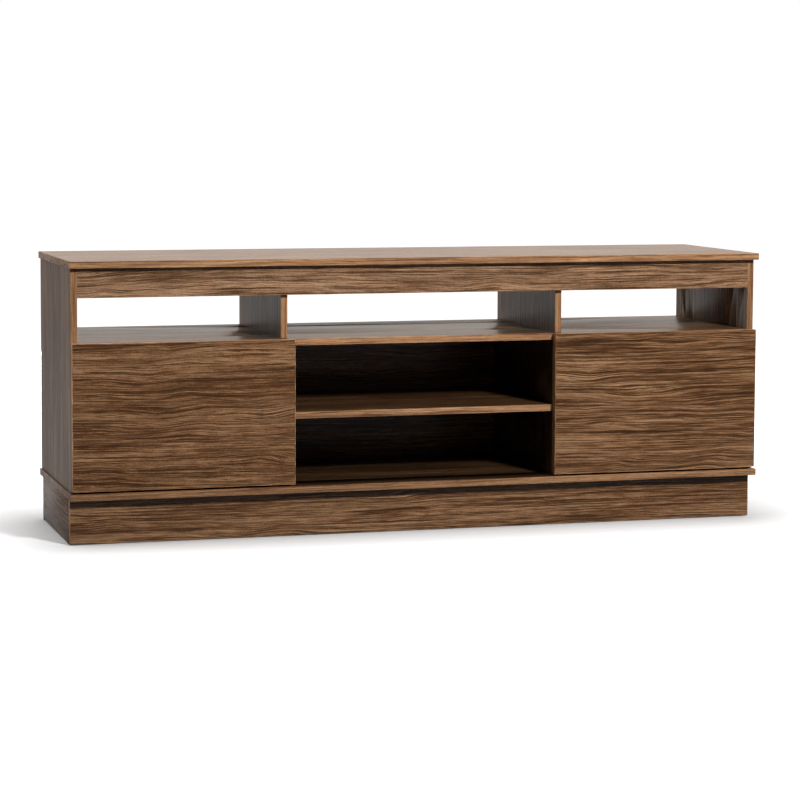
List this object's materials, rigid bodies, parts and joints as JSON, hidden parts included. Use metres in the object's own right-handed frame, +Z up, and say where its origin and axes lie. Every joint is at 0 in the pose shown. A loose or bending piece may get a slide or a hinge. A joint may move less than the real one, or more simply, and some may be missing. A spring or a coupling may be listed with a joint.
{
  "type": "tv stand with doors",
  "caption": "Low wood-look TV stand: open niches under the top, a centre bay with a shelf between push-open cupboards, on a recessed plinth.",
  "frame": {"origin": "centre of the footprint, on the floor", "axes": "+X along the length to the right seen from the front, +Y from the front to the back, +Z up"},
  "size_m": [1.6, 0.443, 0.617],
  "materials": {
    "laminate": "satin walnut laminate",
    "edge_band": "satin edge band, lighter than the faces",
    "back_sheet": "matte printed hardboard",
    "beech": "bare turned beech",
    "black_plastic": "moulded, matte",
    "brown_plastic": "moulded, matte",
    "grey_plastic": "moulded, matte",
    "zinc": "die-cast zinc",
    "steel": "nickel-plated"
  },
  "bodies": {
    "cabinet": {"back_panel_nails": "steel", "bottom_edge_bands": "edge_band", "bottom_panel": "laminate", "cam_bolts": "steel", "cam_locks": "zinc", "centre_back_panel": "back_sheet", "centre_shelf": "laminate", "deck_edge_band": "edge_band", "divider_screws": "steel", "floor_glides": "black_plastic", "front_rail": "laminate", "hinge_arm_screws": "steel", "hinge_arms": "steel", "hinge_mounting_plates": "steel", "hinge_plate_screws": "steel", "latch_housings": "black_plastic", "latch_screws": "steel", "left_back_panel": "back_sheet", "left_lower_divider": "laminate", "left_side_panel": "laminate", "left_upper_divider": "laminate", "lower_divider_edge_bands": "edge_band", "niche_deck": "laminate", "plinth_back": "laminate", "plinth_block_screws": "steel", "plinth_blocks": "brown_plastic", "plinth_brace": "laminate", "plinth_edge_bands": "edge_band", "plinth_front": "laminate", "plinth_left_end": "laminate", "plinth_right_end": "laminate", "rail_edge_band": "edge_band", "right_back_panel": "back_sheet", "right_lower_divider": "laminate", "right_side_panel": "laminate", "right_upper_divider": "laminate", "shelf_edge_band": "edge_band", "shelf_pins": "steel", "side_edge_bands": "edge_band", "top_edge_bands": "edge_band", "top_panel": "laminate", "upper_divider_edge_bands": "edge_band", "wood_dowels": "beech"},
    "left_door": {"left_door_panel": "laminate", "left_door_edge_bands": "edge_band", "left_hinge_cups": "steel", "left_hinge_pins": "steel", "left_cup_screws": "steel", "left_strike_disc": "steel"},
    "right_door": {"right_door_panel": "laminate", "right_door_edge_bands": "edge_band", "right_hinge_cups": "steel", "right_hinge_pins": "steel", "right_cup_screws": "steel", "right_strike_disc": "steel"},
    "left_plunger": {"left_latch_plunger": "grey_plastic"},
    "right_plunger": {"right_latch_plunger": "grey_plastic"}
  },
  "joints": [
    {"name": "left_door_hinge", "type": "hinge", "parent": "cabinet", "child": "left_door", "pos_m": [-0.7875, -0.215, 0.2805], "axis": [0, 0, -1], "range_deg": [0, 100]},
    {"name": "right_door_hinge", "type": "hinge", "parent": "cabinet", "child": "right_door", "pos_m": [0.7875, -0.215, 0.2805], "axis": [0, 0, 1], "range_deg": [0, 100]},
    {"name": "left_latch_push", "type": "slide", "parent": "cabinet", "child": "left_plunger", "axis": [0, 1, 0], "range_m": [0, 0.003], "stiffness_N_per_m": 300},
    {"name": "right_latch_push", "type": "slide", "parent": "cabinet", "child": "right_plunger", "axis": [0, 1, 0], "range_m": [0, 0.003], "stiffness_N_per_m": 300}
  ]
}
